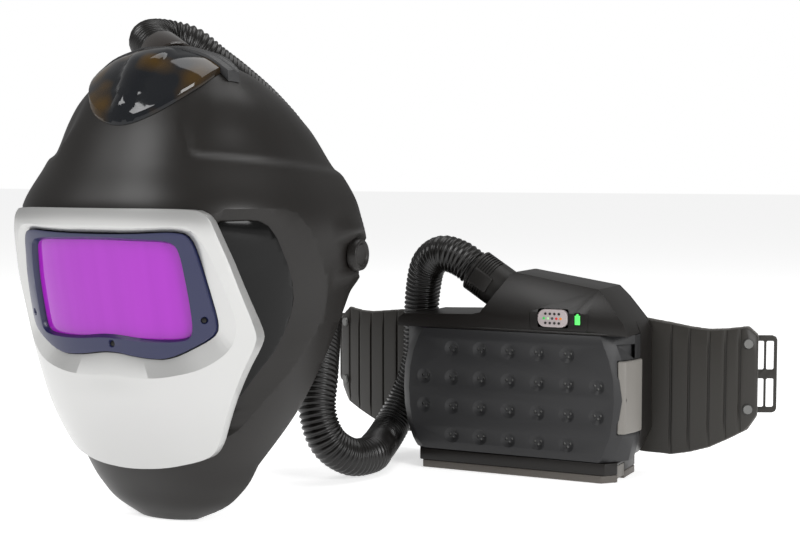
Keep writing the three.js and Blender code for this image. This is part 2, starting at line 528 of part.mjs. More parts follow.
for (const [side, name, stations] of [[-1, 'left', LEFT_WING], [1, 'right', RIGHT_WING]]) {
  const [end] = stations[stations.length - 1];
  const padNear = BELT_THICK + GAP;
  const tabNear = padNear + PAD_THICK + 1;
  const slant = Math.atan((end - 100) / BELT_BEND_R);
  const ends = new THREE.Group();
  ends.position.set(side * (end - 7), BELT_Y + bend(end - 7), 0);
  ends.rotation.z = side * slant;
  blower.add(ends);
  ends.updateMatrix();
  const rivetHeights = [119, 60];
  const drilled = (shape) => rivetHeights.reduce((left, z) => {
    const [near, far] = [-10, 30].map((y) => new THREE.Vector3(0, y, z).applyMatrix4(ends.matrix).toArray());
    return left.subtract(bar(near, far, RIVET_R + GAP, 10));
  }, shape);
  place(blower, `belt_wing_${name}`, drilled(wing(side, stations, 0, BELT_THICK, 0)), 0x35322e, 0.6);
  place(blower, `belt_pad_${name}`, drilled(wing(side, stations, padNear, PAD_THICK, 1.5)), 0x55524c, 0.9);
  let tab = prismY(roundedBox(36, 70, 4, side * 10, 90.5, 2), tabNear, tabNear + TAB_THICK);
  for (const column of SLOT_AT) {
    for (const z of [73.5, 107.5]) {
      tab = tab.subtract(prismY(roundedBox(SLOT[0], SLOT[1], 1, side * column, z, 1), tabNear - 1, tabNear + TAB_THICK + 1));
    }
  }
  const sunk = tabNear + TAB_THICK - RIVET_SINK;
  for (const z of rivetHeights) {
    tab = tab.subtract(bar([0, 0, z], [0, 30, z], RIVET_R + GAP, 10)).subtract(bar([0, sunk, z], [0, 30, z], 4.3, 12));
  }
  place(ends, `end_tab_${name}`, tab, 0x3a3834, 0.55);
  rivetHeights.forEach((z, i) => {
    const tail = sunk + GAP;
    const rivet = bar([0, -1.6, z], [0, tail + 1, z], RIVET_R, 10).add(bar([0, -2.2, z], [0, -0.6, z], 4, 14, 4.6))
      .add(bar([0, tail, z], [0, tail + 1.1, z], 4, 12));
    place(ends, `rivet_${name}_${i ? 'low' : 'high'}`, rivet, 0x8c8c8a, 0.4, 1);
  });
}

// ---- Breathing tube, in the helmet's frame, from the collar round behind the head to the blower's cuff ----

const HOSE_POINTS = [
  [-20.9, -14.4, 367.5], [-33.5, -6.2, 373.2], [-45, 4, 379], [-49, 18, 382], [-45, 32, 382], [-33, 44, 378],
  [-20, 60, 363], [-11, 82, 349], [0, 111, 328], [9, 144, 299], [12, 171, 262], [13, 189, 222], [17, 187, 180],
  [26, 166, 135], [39, 136, 95], [44, 123, 62], [52, 127, 36], [63, 147, 20], [69, 175, 17.2], [60, 205, 17.2],
  [52, 231, 18], [49.5, 255, 27], [58, 274, 55], [70, 277, 90], [72, 277, 130], [75, 275, 160], [84, 268.5, 185],
  [103, 259, 196], [122.4, 257, 191.6], [137.4, 257, 182],
];
const hoseCurve = new THREE.CatmullRomCurve3(HOSE_POINTS.map((p) => new THREE.Vector3(...p)), false, 'centripetal');
const hoseSection = shapeOf(ellipse(HOSE_R, HOSE_R, 0, 10));
const hoseGeometry = new THREE.ExtrudeGeometry(hoseSection, { extrudePath: hoseCurve, steps: 48, bevelEnabled: false });
place(helmet, 'breathing_tube', solid(hoseGeometry), 0x141312, 0.6);

export default respirator;
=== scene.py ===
import math

import bpy
import numpy as np
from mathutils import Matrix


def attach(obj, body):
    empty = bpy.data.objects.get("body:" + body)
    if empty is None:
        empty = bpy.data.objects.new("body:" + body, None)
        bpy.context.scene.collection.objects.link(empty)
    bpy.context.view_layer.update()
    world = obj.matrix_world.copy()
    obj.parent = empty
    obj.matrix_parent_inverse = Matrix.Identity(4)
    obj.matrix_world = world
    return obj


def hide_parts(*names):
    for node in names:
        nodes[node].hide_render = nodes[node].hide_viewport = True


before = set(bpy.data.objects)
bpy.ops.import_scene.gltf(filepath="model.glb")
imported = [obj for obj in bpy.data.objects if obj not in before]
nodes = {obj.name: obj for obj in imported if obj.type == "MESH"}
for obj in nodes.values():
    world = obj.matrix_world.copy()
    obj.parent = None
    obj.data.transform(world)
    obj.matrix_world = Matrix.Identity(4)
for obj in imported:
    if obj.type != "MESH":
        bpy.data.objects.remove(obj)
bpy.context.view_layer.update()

# ---- Camera ----
# A long lens at helmet height, turned a quarter way round to the object's right.
camera_data = bpy.data.cameras.new("camera")
camera_data.lens = 66.8
camera_data.sensor_width = 36
camera = bpy.data.objects.new("camera", camera_data)
bpy.context.scene.collection.objects.link(camera)
camera.location = (0.5431, -1.1161, 0.275)
camera.rotation_euler = (math.radians(86.1), 0, math.radians(26))
bpy.context.scene.camera = camera

# ---- Breathing tube ----
# A blow-moulded rubber tube with close round corrugations, limp enough to lie on the floor.
# It is pushed over the helmet's collar at one end and held in the blower's cuff at the other.
HELMET_AT = np.array([-0.1322, -0.10985, 0])
BLOWER_AT = np.array([0.0518, 0.14715, 0])
TUBE_POINTS = [
    (-20.9, -14.4, 367.5), (-33.5, -6.2, 373.2), (-45, 4, 379), (-49, 18, 382), (-45, 32, 382),
    (-33, 44, 378), (-20, 60, 363), (-11, 82, 349), (0, 111, 328), (9, 144, 299), (12, 171, 262),
    (13, 189, 222), (17, 187, 180), (26, 166, 135), (39, 136, 95), (44, 123, 62), (52, 127, 36),
    (63, 147, 20), (69, 175, 17.2), (60, 205, 17.2), (52, 231, 18), (49.5, 255, 27), (58, 274, 55),
    (70, 277, 90), (72, 277, 130), (75, 275, 160), (84, 268.5, 185), (103, 259, 196),
    (122.4, 257, 191.6), (137.4, 257, 182),
]
TUBE_R = 0.017
TUBE_VALLEY = 0.0019
TUBE_PITCH = 0.0043
TUBE_AROUND = 22
TUBE_PER_RING = 6


def smooth_path(points, per_span):
    """The centripetal curve through the points, as the frame's tube follows it."""
    points = [np.array(p, float) for p in points]
    points = [2 * points[0] - points[1]] + points + [2 * points[-1] - points[-2]]
    path = []
    for a, b, c, d in zip(points, points[1:], points[2:], points[3:]):
        ta = np.linalg.norm(b - a) ** 0.5
        tb = ta + np.linalg.norm(c - b) ** 0.5
        tc = tb + np.linalg.norm(d - c) ** 0.5
        for step in range(per_span):
            t = ta + (tb - ta) * step / per_span
            ab = (ta - t) / ta * a + t / ta * b
            bc = (tb - t) / (tb - ta) * b + (t - ta) / (tb - ta) * c
            cd = (tc - t) / (tc - tb) * c + (t - tb) / (tc - tb) * d
            low = (tb - t) / tb * ab + t / tb * bc
            high = (tc - t) / (tc - ta) * bc + (t - ta) / (tc - ta) * cd
            path.append((tb - t) / (tb - ta) * low + (t - ta) / (tb - ta) * high)
    return np.array(path + [points[-2]])


def only(piece):
    """Makes a piece the one thing that the next operator acts on."""
    if bpy.context.mode != "OBJECT":
        bpy.ops.object.mode_set(mode="OBJECT")
    bpy.ops.object.select_all(action="DESELECT")
    piece.select_set(True)
    bpy.context.view_layer.objects.active = piece
    return piece


def wrapped(name, places):
    """A grid of faces whose rows are rings, closed round each ring and over both ends."""
    rows, around = places.shape[:2]
    bpy.ops.mesh.primitive_grid_add(x_subdivisions=around, y_subdivisions=rows - 1, size=1)
    piece = only(bpy.context.active_object)
    piece.name = piece.data.name = name
    ring = np.concatenate([places, places[:, :1]], axis=1)
    piece.data.vertices.foreach_set("co", ring.reshape(-1))
    bpy.ops.object.mode_set(mode="EDIT")
    bpy.ops.mesh.select_all(action="SELECT")
    bpy.ops.mesh.remove_doubles(threshold=0.000002)
    bpy.ops.mesh.fill_holes(sides=0)
    bpy.ops.mesh.select_all(action="SELECT")
    bpy.ops.mesh.normals_make_consistent(inside=False)
    bpy.ops.object.mode_set(mode="OBJECT")
    return piece


coarse = smooth_path(TUBE_POINTS, 24) / 1000 + HELMET_AT
run = np.concatenate([[0], np.cumsum(np.linalg.norm(np.diff(coarse, axis=0), axis=1))])
tube_length = run[-1]
ring_rows = int(tube_length / TUBE_PITCH) * TUBE_PER_RING
stations = np.linspace(0, tube_length, ring_rows + 1)
middle = np.stack([np.interp(stations, run, coarse[:, k]) for k in range(3)], axis=1)
forward = np.gradient(middle, axis=0)
forward /= np.linalg.norm(forward, axis=1)[:, None]
side = np.cross(forward[0], (0, 0, 1))
side /= np.linalg.norm(side)
tube_places = []
for i, (point, way) in enumerate(zip(middle, forward)):
    side = side - way * side.dot(way)
    side /= np.linalg.norm(side)
    other = np.cross(way, side)
    crest = 0.5 + 0.5 * math.cos(2 * math.pi * i / TUBE_PER_RING)
    radius = TUBE_R - TUBE_VALLEY * (1 - crest ** 0.7)
    turn = np.linspace(0, 2 * math.pi, TUBE_AROUND, endpoint=False)[:, None]
    tube_places.append(point + radius * (np.cos(turn) * side + np.sin(turn) * other))
breathing_tube = wrapped("breathing_tube_skin", np.array(tube_places))
bpy.ops.object.shade_smooth()
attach(breathing_tube, "root")
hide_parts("breathing_tube")


def moulding_group():
    """Moulded plastic or rubber: a fine grain and a slow drift in colour and roughness."""
    group = bpy.data.node_groups.new("moulding", "ShaderNodeTree")
    for name, kind in (("Color", "Color"), ("Drift", "Float"), ("Grain Scale", "Float"),
                       ("Roughness", "Float"), ("Rough Drift", "Float")):
        group.interface.new_socket(name, in_out="INPUT", socket_type=f"NodeSocket{kind}")
    for name, kind in (("Color", "Color"), ("Roughness", "Float"), ("Height", "Float")):
        group.interface.new_socket(name, in_out="OUTPUT", socket_type=f"NodeSocket{kind}")
    new = group.nodes.new
    link = group.links.new
    given = new("NodeGroupInput")
    result = new("NodeGroupOutput")
    where = new("ShaderNodeTexCoord")
    cloud = new("ShaderNodeTexNoise")
    cloud.inputs["Scale"].default_value = 14
    cloud.inputs["Detail"].default_value = 4
    grain = new("ShaderNodeTexNoise")
    grain.inputs["Detail"].default_value = 2
    link(where.outputs["Object"], cloud.inputs["Vector"])
    link(where.outputs["Object"], grain.inputs["Vector"])
    link(given.outputs["Grain Scale"], grain.inputs["Scale"])
    centred = new("ShaderNodeMath")
    centred.operation = "SUBTRACT"
    centred.inputs[1].default_value = 0.5
    link(cloud.outputs["Fac"], centred.inputs[0])
    drift = new("ShaderNodeMath")
    drift.operation = "MULTIPLY_ADD"
    drift.inputs[2].default_value = 1
    link(centred.outputs[0], drift.inputs[0])
    link(given.outputs["Drift"], drift.inputs[1])
    tone = new("ShaderNodeVectorMath")
    tone.operation = "SCALE"
    link(given.outputs["Color"], tone.inputs[0])
    link(drift.outputs[0], tone.inputs["Scale"])
    link(tone.outputs[0], result.inputs["Color"])
    rough = new("ShaderNodeMath")
    rough.operation = "MULTIPLY_ADD"
    link(centred.outputs[0], rough.inputs[0])
    link(given.outputs["Rough Drift"], rough.inputs[1])
    link(given.outputs["Roughness"], rough.inputs[2])
    link(rough.outputs[0], result.inputs["Roughness"])
    link(grain.outputs["Fac"], result.inputs["Height"])
    return group


moulding = moulding_group()


def moulded(name, color, roughness, grain=900, bump=0.08, drift=0.25, rough_drift=0.12, **shader):
    """A material made of the moulding group, with the rest of its shader set on its own sockets."""
    material = bpy.data.materials.new(name)
    material.use_nodes = True
    tree = material.node_tree
    principled = tree.nodes["Principled BSDF"]
    group = tree.nodes.new("ShaderNodeGroup")
    group.node_tree = moulding
    group.inputs["Color"].default_value = (*color, 1)
    group.inputs["Drift"].default_value = drift
    group.inputs["Grain Scale"].default_value = grain
    group.inputs["Roughness"].default_value = roughness
    group.inputs["Rough Drift"].default_value = rough_drift
    raised = tree.nodes.new("ShaderNodeBump")
    raised.inputs["Strength"].default_value = bump
    raised.inputs["Distance"].default_value = 0.0004
    tree.links.new(group.outputs["Color"], principled.inputs["Base Color"])
    tree.links.new(group.outputs["Roughness"], principled.inputs["Roughness"])
    tree.links.new(group.outputs["Height"], raised.inputs["Height"])
    tree.links.new(raised.outputs["Normal"], principled.inputs["Normal"])
    principled.inputs["Specular IOR Level"].default_value = 0.32
    for socket, value in shader.items():
        principled.inputs[socket.replace("_", " ")].default_value = value
    return material


def finish_with(piece, material):
    """Gives a piece or a frame node one material."""
    piece.data.materials.clear()
    piece.data.materials.append(material)


tube_rubber = moulded("tube rubber", (0.006, 0.0053, 0.0047), 0.3, grain=500, drift=0.5,
                      Specular_IOR_Level=0.45)
finish_with(breathing_tube, tube_rubber)

# ---- Helmet shell ----
# A satin black nylon shell, 3 mm thick, moulded in one piece. A soft crease runs back along each
# temple, a boss stands round each pivot and a slanted frame is let in round each side window.
SHELL_LEVELS = np.array([
    [0, 42, -51, -5, 60, 2.2], [10, 62, -60, 0, 70, 2.3], [25, 75, -69, 0, 80, 2.4],
    [50, 86, -84, 8, 100, 2.5], [90, 104, -101, 15, 130, 2.6], [126, 114, -109, 20, 150, 2.7],
    [165, 121, -116, 25, 170, 2.8], [205, 126, -124, 25, 170, 2.8], [247, 124, -129, 20, 150, 2.7],
    [280, 107, -113, 8, 115, 2.5], [310, 91, -98, -8, 80, 2.4], [335, 72, -82, -18, 52, 2.3],
    [350, 55, -70, -26, 28, 2.2], [360, 35, -57, -32, 0, 2.1], [365, 16, -44, -36, -22, 2],
])
SHELL_AROUND = 144
BROW_Z = 247
SHELL_WALL = 3
RIM_DEPTH = 8.5
FRAME_SINK = 6.5
PIVOT_Y, PIVOT_Z = 36, 207
PIVOT_BORE_R = 4.2
BELOW = -10
PAST = 200


def level_at(z):
    """The helmet's half width, front, widest place, back and squareness at a height."""
    heights = SHELL_LEVELS[:, 0]
    values = SHELL_LEVELS[:, 1:]
    slopes = np.gradient(values, heights, axis=0)
    i = int(np.clip(np.searchsorted(heights, z) - 1, 0, len(heights) - 2))
    span = heights[i + 1] - heights[i]
    t = (z - heights[i]) / span
    return ((2 * t ** 3 - 3 * t ** 2 + 1) * values[i] + (t ** 3 - 2 * t ** 2 + t) * span * slopes[i]
            + (3 * t ** 2 - 2 * t ** 3) * values[i + 1] + (t ** 3 - t ** 2) * span * slopes[i + 1])


def step(value, low, high):
    """0 below low, 1 above high and a smooth rise between."""
    t = np.clip((value - low) / (high - low), 0, 1)
    return t * t * (3 - 2 * t)


def shell_relief(x, y, z):
    """How far the outer skin stands out from the plain form: temple crease and pivot boss."""
    crease = 280.5 - 0.09 * (y + 73) + 26 * (1 - step(np.abs(x), 46, 66))
    sunk = 3.8 * step(z, crease, crease + 6) * (1 - step(z, crease + 10, crease + 50))
    sunk = sunk * step(np.abs(x), 44, 66)
    away = np.hypot((y - 33) / 24, (z - 209) / 31)
    boss = 4.6 * (1 - step(away, 0.66, 1.12)) * step(np.hypot(y - 36, z - 207), 14, 17.5)
    return boss * (np.abs(x) > 60) - sunk


def chin_keel(x, y, z):
    """The front cover's chin comes forward to a soft edge down its middle."""
    return 3.2 * np.clip(1 - np.abs(x) / 62, 0, 1) * step(126 - z, 0, 26) * (y < 0)


def helmet_form(name, grown, low=0.0, relief=None, rows=118):
    """The whole helmet's form as one closed dome, grown outwards in mm."""
    top = SHELL_LEVELS[-1, 0]
    below = np.linspace(0, BROW_Z, int(rows * 0.62))
    above = np.linspace(BROW_Z, top, int(rows * 0.38))
    heights = list(below) + list(above)[1:]
    turn = np.linspace(0, 2 * math.pi, SHELL_AROUND, endpoint=False)
    rings = []
    for z in heights:
        half, front, mid, back, squareness = level_at(z)
        cos = np.sign(np.cos(turn)) * np.abs(np.cos(turn)) ** (2 / squareness)
        sin = np.sign(np.sin(turn)) * np.abs(np.sin(turn)) ** (2 / squareness)
        reach = np.where(np.sin(turn) < 0, mid - front, back - mid)
        lift = grown * (z / top) ** 4
        x = (half + grown) * cos
        y = mid + (reach + grown) * sin
        if relief is not None:
            out = relief(x, y, z)
            slope = np.hypot(reach * cos, half * sin)
            x = x + out * reach * cos / slope
            y = y + out * half * sin / slope
        rings.append(np.stack([x, y, np.full_like(x, z + lift)], axis=1))
    if low < 0:
        rings.insert(0, rings[0] + (0, 0, low))
    return wrapped(name, np.array(rings) / 1000 + HELMET_AT)


def skin_x(y, z, grown=0.0):
    half, front, mid, back, squareness = level_at(z)
    reach = mid - front if y < mid else back - mid
    across = min(abs(y - mid) / (reach + grown), 0.999)
    return (half + grown) * (1 - across ** squareness) ** (1 / squareness)


def skin_y(x, z, grown=0.0):
    half, front, mid, back, squareness = level_at(z)
    across = min(abs(x) / (half + grown), 0.999)
    return mid - (mid - front + grown) * (1 - across ** squareness) ** (1 / squareness)


def cut(piece, cutter, operation="DIFFERENCE", keep=False):
    """Joins, cuts or crops a piece by another solid, which is then taken away."""
    only(piece)
    change = piece.modifiers.new("cut", "BOOLEAN")
    change.operation = operation
    change.solver = "EXACT"
    change.object = cutter
    bpy.ops.object.modifier_apply(modifier=change.name)
    if not keep:
        bpy.data.objects.remove(cutter, do_unlink=True)
    return piece


def slab(name, outline, axis, start, end, at=HELMET_AT):
    """An outline in mm pulled into a solid along an axis. It is (y, z), (x, z) or (x, y)."""
    bpy.ops.mesh.primitive_circle_add(vertices=len(outline), radius=1, fill_type="NGON")
    piece = only(bpy.context.active_object)
    piece.name = piece.data.name = name
    flat = {"X": (1, 2), "Y": (0, 2), "Z": (0, 1)}[axis]
    far = "XYZ".index(axis)
    for vertex, point in zip(piece.data.vertices, outline):
        place = [0, 0, 0]
        place[flat[0]], place[flat[1]], place[far] = point[0], point[1], start
        vertex.co = np.array(place) / 1000 + at
    bpy.ops.object.mode_set(mode="EDIT")
    bpy.ops.mesh.select_all(action="SELECT")
    pull = [0, 0, 0]
    pull[far] = (end - start) / 1000
    bpy.ops.mesh.extrude_region_move(TRANSFORM_OT_translate={"value": pull})
    bpy.ops.mesh.select_all(action="SELECT")
    bpy.ops.mesh.normals_make_consistent(inside=False)
    bpy.ops.object.mode_set(mode="OBJECT")
    return piece


def rounded(outline, times=2):
    """An outline with its corners drawn round by cutting them again and again."""
    points = [np.array(p, float) for p in outline]
    for _ in range(times):
        cornered = []
        for a, b in zip(points, points[1:] + points[:1]):
            cornered += [a * 0.78 + b * 0.22, a * 0.22 + b * 0.78]
        points = cornered
    return [tuple(p) for p in points]


def evenly(outline, count):
    """The same closed outline as a set number of points, so that two outlines can be joined."""
    ring = np.array(list(outline) + [outline[0]], float)
    far = np.concatenate([[0], np.cumsum(np.linalg.norm(np.diff(ring, axis=0), axis=1))])
    marks = np.linspace(0, far[-1], count, endpoint=False)
    return np.stack([np.interp(marks, far, ring[:, k]) for k in range(2)], axis=1)


def rounded_box(width, height, radius, x=0.0, z=0.0, steps=6):
    points = []
    for sx, sz, start in ((1, 1, 0), (-1, 1, 90), (-1, -1, 180), (1, -1, 270)):
        for i in range(steps + 1):
            turn = math.radians(start + 90 * i / steps)
            points.append((x + sx * (width / 2 - radius) + radius * math.cos(turn),
                           z + sz * (height / 2 - radius) + radius * math.sin(turn)))
    return points


def bar(name, start, end, radius, end_radius=None, at=HELMET_AT, vertices=48):
    """A round or tapered bar between two points in mm."""
    a = np.array(start, float) / 1000 + at
    b = np.array(end, float) / 1000 + at
    way = b - a
    long = float(np.linalg.norm(way))
    bpy.ops.mesh.primitive_cone_add(vertices=vertices, radius1=radius / 1000, depth=long,
                                    radius2=(radius if end_radius is None else end_radius) / 1000)
    piece = only(bpy.context.active_object)
    piece.name = piece.data.name = name
    piece.rotation_euler = (0, math.acos(way[2] / long), math.atan2(way[1], way[0]))
    piece.location = (a + b) / 2
    bpy.ops.object.transform_apply(location=True, rotation=True, scale=True)
    return piece


def soft_edges(piece, width, segments=2, angle=32, smooth=34):
    """A small round on every sharp edge, then smooth shading over it."""
    only(piece)
    edge = piece.modifiers.new("edge", "BEVEL")
    edge.width = width / 1000
    edge.segments = segments
    edge.limit_method = "ANGLE"
    edge.angle_limit = math.radians(angle)
    bpy.ops.object.modifier_apply(modifier=edge.name)
    bpy.ops.object.shade_smooth_by_angle(angle=math.radians(smooth))
    return piece


SHELL_REAR = [(-42, -1), (-34, 46), (-14, 84), (26, 158), (40, 186), (48, 205), (50, 232), (46, 268),
              (42, 300), (44, 330), (50, 348)]
BEHIND = [(-42, -30)] + SHELL_REAR + [(50, 500), (300, 500), (300, -30)]
WINDOW_FRAME = [(-112, 246), (-56, 246), (-38, 238), (-15, 205), (-1.5, 180), (-4, 162), (-29, 129),
                (-55, 101), (-68, 72), (-84, 70), (-96, 120), (-100, 158), (-108, 200)]
WINDOW_GLASS = [(-104, 235), (-76, 236), (-64, 230), (-44, 195), (-37, 171), (-47, 142), (-60, 124),
                (-70, 100), (-73, 77), (-82, 76), (-88, 120), (-94, 158), (-101, 200)]


def window_cutter(name, side):
    """A solid that cuts the slanted frame and the opening of a side window."""
    outer = evenly(rounded(WINDOW_FRAME, times=1), 72)
    inner = evenly(rounded(WINDOW_GLASS, times=1), 72)
    rings = []
    for outline, depth, lift in ((outer, 0, 40), (outer, 0, 0), (inner, -FRAME_SINK, 0), (inner, 0, -60)):
        ring = []
        for y, z in outline:
            x = skin_x(y, z, depth) + lift
            ring.append((side * x, y, z))
        rings.append(ring)
    return wrapped(name, np.array(rings) / 1000 + HELMET_AT)


helmet_shell = helmet_form("helmet_shell_skin", 0, relief=shell_relief)
cut(helmet_shell, helmet_form("inside", -SHELL_WALL, low=BELOW, relief=shell_relief))
for side_sign in (-1, 1):
    rim = helmet_form("rim", -0.02)
    cut(rim, helmet_form("rim_inside", -RIM_DEPTH, low=BELOW))
    area = rounded(WINDOW_FRAME, times=1)
    cut(rim, slab("rim_area", area, "X", side_sign * 30, side_sign * PAST), "INTERSECT")
    cut(helmet_shell, rim, "UNION")
    cut(helmet_shell, window_cutter("window_cutter", side_sign))
cut(helmet_shell, slab("behind", BEHIND, "X", -PAST, PAST))
FILTER_HOLE = (137, 82, 6)
WINDOW_Z = 187.5
cut(helmet_shell, slab("filter_hole", rounded_box(*FILTER_HOLE, 0, WINDOW_Z), "Y", -PAST, -40))
cut(helmet_shell, bar("pivot_bore", (-PAST, PIVOT_Y, PIVOT_Z), (PAST, PIVOT_Y, PIVOT_Z), PIVOT_BORE_R))
COLLAR_FROM = np.array((3, -30, 356.0))
COLLAR_TO = np.array((-20, -15, 367.0))
COLLAR_PAST = COLLAR_FROM + 1.7 * (COLLAR_TO - COLLAR_FROM)
COLLAR_R = 19
COLLAR_BORE_R = 16
cut(helmet_shell, bar("collar_cut", COLLAR_FROM, COLLAR_PAST, COLLAR_R + 0.3))
soft_edges(helmet_shell, 0.7, angle=38)
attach(helmet_shell, "root")
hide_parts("helmet_shell")
shell_plastic = moulded("shell plastic", (0.0105, 0.0092, 0.0082), 0.38, grain=1500, bump=0.05,
                        drift=0.2)
finish_with(helmet_shell, shell_plastic)

# ---- Silver front cover ----
# A thin moulded cover in silver metallic paint, clipped over the shell. It has a raised outer rim,
# a slanted band let in round the filter's bezel, and a chin that comes forward to a soft edge.
COVER_EDGE = [(78, 246.5), (86, 242.5), (90.5, 235), (99, 200), (105, 158), (104.5, 147), (93, 121),
              (74, 73), (66, 60), (56, 55), (30, 49), (0, 47)]
COVER_EDGE = COVER_EDGE + [(-x, z) for x, z in COVER_EDGE[-2::-1]] + [(0, 246.5)]
BAND_EDGE = [(0, 233.4), (45, 232.5), (72, 234.5), (83, 227), (94, 189), (97.5, 158), (91, 141),
             (73, 127.5), (42, 120.5), (20, 120.5), (0, 122.5)]
BAND_EDGE = BAND_EDGE + [(-x, z) for x, z in BAND_EDGE[-2:0:-1]]
BEZEL_EDGE = [(0, 227.5), (34, 228), (69, 230), (75.5, 223), (80.5, 193), (84, 160), (79, 151),
              (50, 135.5), (28, 136), (0, 140.5)]
BEZEL_EDGE = BEZEL_EDGE + [(-x, z) for x, z in BEZEL_EDGE[-2:0:-1]]


def grown(outline, by):
    """An outline moved outwards from its middle by about a distance."""
    middle_x = sum(p[0] for p in outline) / len(outline)
    middle_z = sum(p[1] for p in outline) / len(outline)
    out = []
    for x, z in outline:
        far = math.hypot(x - middle_x, z - middle_z)
        out.append((x + by * (x - middle_x) / far, z + by * (z - middle_z) / far))
    return out


def front_cutter(name, outer, inner, high, low, count=120):
    """A solid that lets a slanted band into the front, from one outline in to another."""
    outer = evenly(outer, count)
    inner = evenly(inner, count)
    rings = []
    for outline, depth, lift in ((outer, high, -50), (outer, high, 0),
                                 (inner, low, 0), (inner, low, 60)):
        keel = 1 if depth > 5 else 0
        rings.append([(x, skin_y(x, z, depth) + lift - keel * float(chin_keel(x, -1.0, z)), z)
                      for x, z in outline])
    return wrapped(name, np.array(rings) / 1000 + HELMET_AT)


COVER_OUT = 5.6
front_cover = helmet_form("front_cover_skin", COVER_OUT, relief=chin_keel)
cut(front_cover, helmet_form("under_cover", 0.35, low=BELOW))
cut(front_cover, slab("cover_area", rounded(COVER_EDGE, times=2), "Y", -220, -20), "INTERSECT")
cut(front_cover, front_cutter("band_cutter", rounded(BAND_EDGE), rounded(grown(BEZEL_EDGE, 1.2)),
                              COVER_OUT + 0.1, 1.2))
cut(front_cover, slab("behind", BEHIND, "X", -PAST, PAST))
soft_edges(front_cover, 0.8, segments=2, angle=40, smooth=16)
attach(front_cover, "root")
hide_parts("front_cover")
silver_paint = moulded("silver paint", (0.5, 0.5, 0.492), 0.32, grain=2600, bump=0.03, drift=0.04,
                       rough_drift=0.05, Metallic=0.72, Coat_Weight=0.35, Coat_Roughness=0.12)
finish_with(front_cover, silver_paint)

# ---- Filter bezel, filter and side windows ----
# The dark blue bezel is glossy polycarbonate held by three sunk screws. Behind it sit a clear plate
# and the filter glass, whose metal coating throws back magenta and is given a faint painted glow. The side
# windows are dark gloss.
GLASS_EDGE = [(0, 223), (30, 222.5), (58, 222), (64, 217), (66.5, 189), (67, 156), (61, 150.5),
              (30, 150), (0, 153.5)]
GLASS_EDGE = GLASS_EDGE + [(-x, z) for x, z in GLASS_EDGE[-2:0:-1]]
BEZEL_OUT = 3.6
BEZEL_SCREWS = ((77, 165), (-77, 165), (3, 145.5))
filter_bezel = helmet_form("filter_bezel_skin", BEZEL_OUT)
cut(filter_bezel, helmet_form("under_bezel", -3.2, low=BELOW))
cut(filter_bezel, slab("bezel_area", rounded(BEZEL_EDGE), "Y", -220, -20), "INTERSECT")
cut(filter_bezel, front_cutter("opening", rounded(grown(GLASS_EDGE, 3)), rounded(GLASS_EDGE), 3.7, -1.5))
for screw_x, screw_z in BEZEL_SCREWS:
    screw_y = skin_y(screw_x, screw_z, BEZEL_OUT)
    cut(filter_bezel, bar("screw_dimple", (screw_x * 1.02, screw_y - 1, screw_z),
                          (screw_x * 0.985, screw_y + 2.2, screw_z), 3.4, 2.0, vertices=28))
soft_edges(filter_bezel, 0.8, segments=3, angle=26, smooth=32)
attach(filter_bezel, "root")
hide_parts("filter_bezel")
finish_with(filter_bezel, moulded("bezel blue", (0.013, 0.016, 0.06), 0.3, grain=1800, bump=0.03,
                                  drift=0.1, Coat_Weight=0.3, Coat_Roughness=0.15))
for screw_number, (screw_x, screw_z) in enumerate(BEZEL_SCREWS):
    screw_y = skin_y(screw_x, screw_z, BEZEL_OUT)
    screw = bar(f"bezel_screw_{screw_number}", (screw_x * 0.99, screw_y + 1.5, screw_z),
                (screw_x * 0.97, screw_y + 4.5, screw_z), 2.0, vertices=24)
    soft_edges(screw, 0.3)
    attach(screw, "root")
    finish_with(screw, shell_plastic)

filter_glass = helmet_form("filter_glass_skin", -0.9)
cut(filter_glass, helmet_form("under_glass", -2.9, low=BELOW))
cut(filter_glass, slab("glass_area", rounded(grown(GLASS_EDGE, 2.0)), "Y", -220, -20), "INTERSECT")
soft_edges(filter_glass, 0.3)
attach(filter_glass, "root")
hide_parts("outer_plate", "filter_glass")
coated_glass = moulded("coated glass", (0.46, 0.028, 0.62), 0.1, grain=60, bump=0.0, drift=0.05,
                       rough_drift=0.02, Coat_Weight=0.3, Coat_Roughness=0.04)
tree = coated_glass.node_tree
glass_shader = tree.nodes["Principled BSDF"]
streak_place = tree.nodes.new("ShaderNodeTexCoord")
streak_turn = tree.nodes.new("ShaderNodeMapping")
streak_turn.inputs["Scale"].default_value = (90, 1, 3)
streaks = tree.nodes.new("ShaderNodeTexNoise")
streaks.inputs["Scale"].default_value = 1
streaks.inputs["Detail"].default_value = 3
streak_color = tree.nodes.new("ShaderNodeMix")
streak_color.data_type = "RGBA"
streak_color.inputs["A"].default_value = (0.27, 0.007, 0.37, 1)
streak_color.inputs["B"].default_value = (0.34, 0.015, 0.45, 1)
tree.links.new(streak_place.outputs["Object"], streak_turn.inputs["Vector"])
tree.links.new(streak_turn.outputs["Vector"], streaks.inputs["Vector"])
tree.links.new(streaks.outputs["Fac"], streak_color.inputs["Factor"])
tree.links.new(streak_color.outputs["Result"], glass_shader.inputs["Base Color"])
# A faint painted glow: the filter glass emits its own magenta light.
glass_shader.inputs["Emission Color"].default_value = (0.46, 0.028, 0.62, 1)
glass_shader.inputs["Emission Strength"].default_value = 0.05
finish_with(filter_glass, coated_glass)

